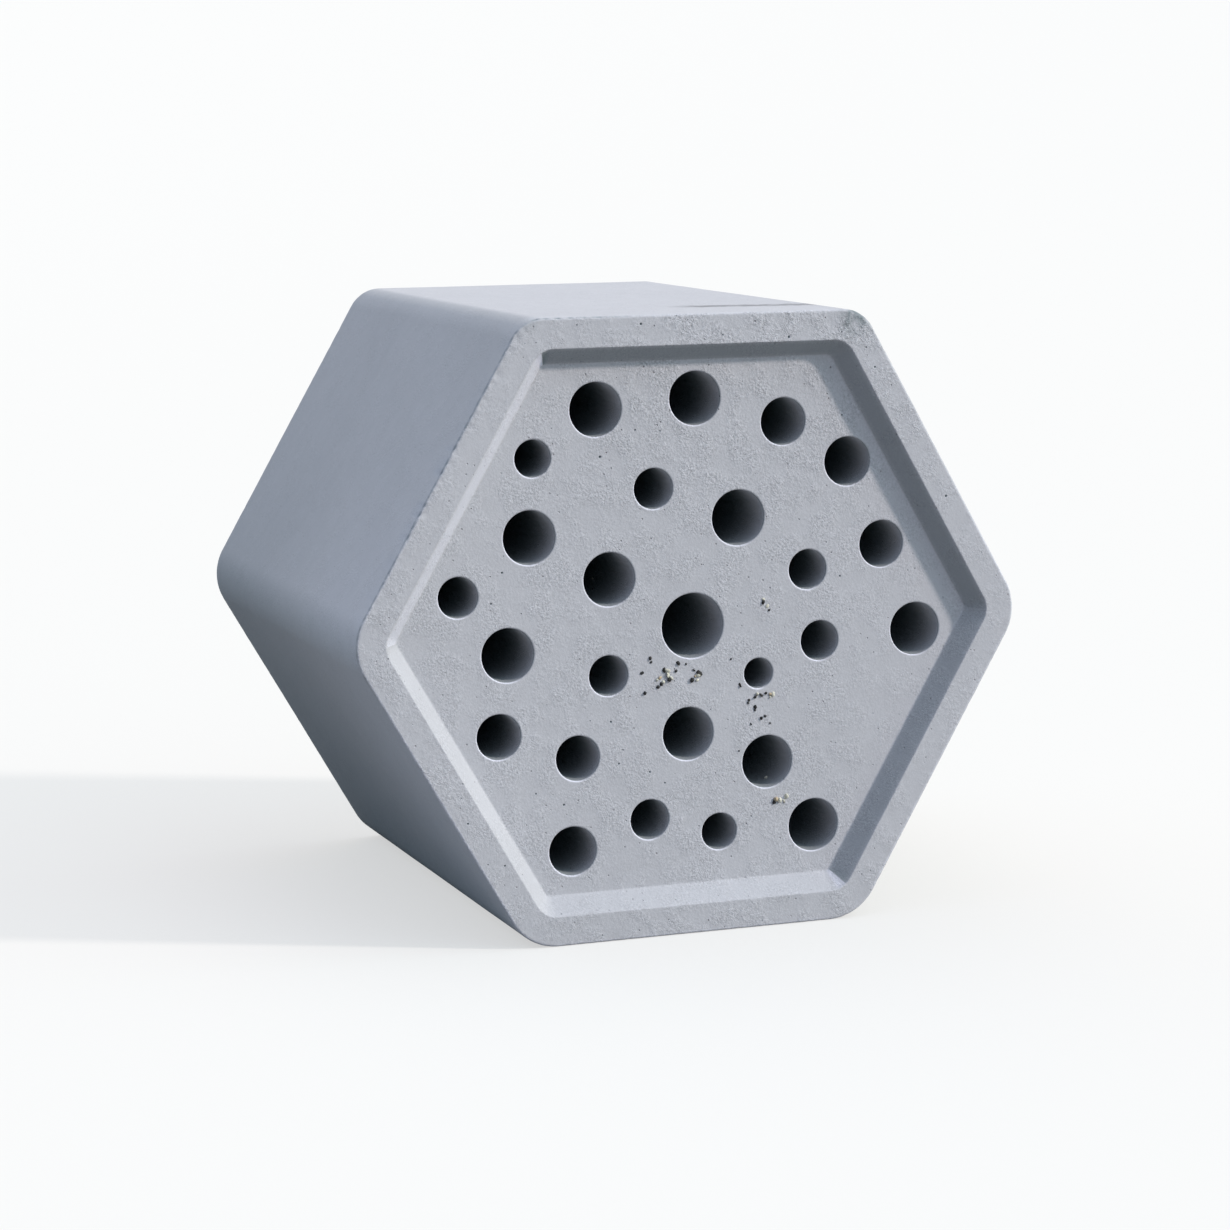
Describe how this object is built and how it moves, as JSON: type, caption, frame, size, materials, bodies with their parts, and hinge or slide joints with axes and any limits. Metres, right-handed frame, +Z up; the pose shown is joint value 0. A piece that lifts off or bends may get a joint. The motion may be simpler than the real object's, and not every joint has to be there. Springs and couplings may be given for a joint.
{
  "type": "bee hotel",
  "caption": "Hexagonal cast mortar block, standing on one flat, with a raised rim around a shallow recess and blind nesting bores of several widths in its floor.",
  "frame": {"origin": "middle of the footprint, on the surface that the block stands on", "axes": "+Z up, -Y towards the front with the bores, X from corner to corner"},
  "size_m": [0.1014, 0.08, 0.09],
  "materials": {
    "mortar": "cast, fine sand texture"
  },
  "bodies": {
    "root": {"nesting_block": "mortar"}
  },
  "joints": []
}
